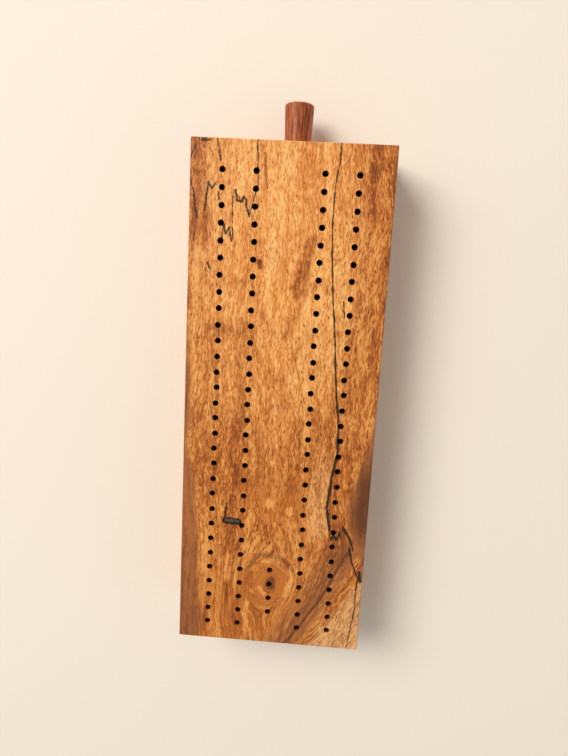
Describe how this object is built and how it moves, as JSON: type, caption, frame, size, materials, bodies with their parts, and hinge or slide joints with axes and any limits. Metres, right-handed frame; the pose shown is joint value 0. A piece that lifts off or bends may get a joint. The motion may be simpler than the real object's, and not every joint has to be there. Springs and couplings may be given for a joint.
{
  "type": "cribbage box with drawer",
  "caption": "Flat wooden cribbage box with two drilled peg tracks in its top, and a long drawer with a turned dowel knob sliding out of one end.",
  "frame": {"origin": "middle of the underside of the case", "axes": "+Z out of the playing face, length along Y, drawer and knob at the -Y end, +X to the right of someone facing the drawer"},
  "size_m": [0.1142, 0.3298, 0.0444],
  "materials": {
    "board_wood": "satin oil on spalted hardwood",
    "case_wood": "satin oil on hardwood",
    "front_wood": "satin oil on hardwood",
    "drawer_wood": "sanded hardwood, lightly oiled",
    "drawer_bottom_wood": "thin sanded panel",
    "knob_wood": "satin oil on turned reddish hardwood",
    "peg_brass": "turned brass",
    "peg_steel": "turned steel"
  },
  "bodies": {
    "case": {"playing_top": "board_wood", "rail_left": "case_wood", "rail_right": "case_wood", "end_block": "case_wood", "base_panel": "case_wood"},
    "drawer": {"drawer_front": "front_wood", "drawer_side_left": "drawer_wood", "drawer_side_right": "drawer_wood", "drawer_bottom": "drawer_bottom_wood", "drawer_back": "drawer_wood", "drawer_divider_front": "drawer_wood", "drawer_divider_rear": "drawer_wood", "knob": "knob_wood", "peg_brass_1": "peg_brass", "peg_brass_2": "peg_brass", "peg_brass_3": "peg_brass", "peg_steel_1": "peg_steel", "peg_steel_2": "peg_steel", "peg_steel_3": "peg_steel"}
  },
  "joints": [
    {"name": "drawer_slide", "type": "slide", "parent": "case", "child": "drawer", "axis": [0, -1, 0], "range_m": [0, 0.25]}
  ]
}
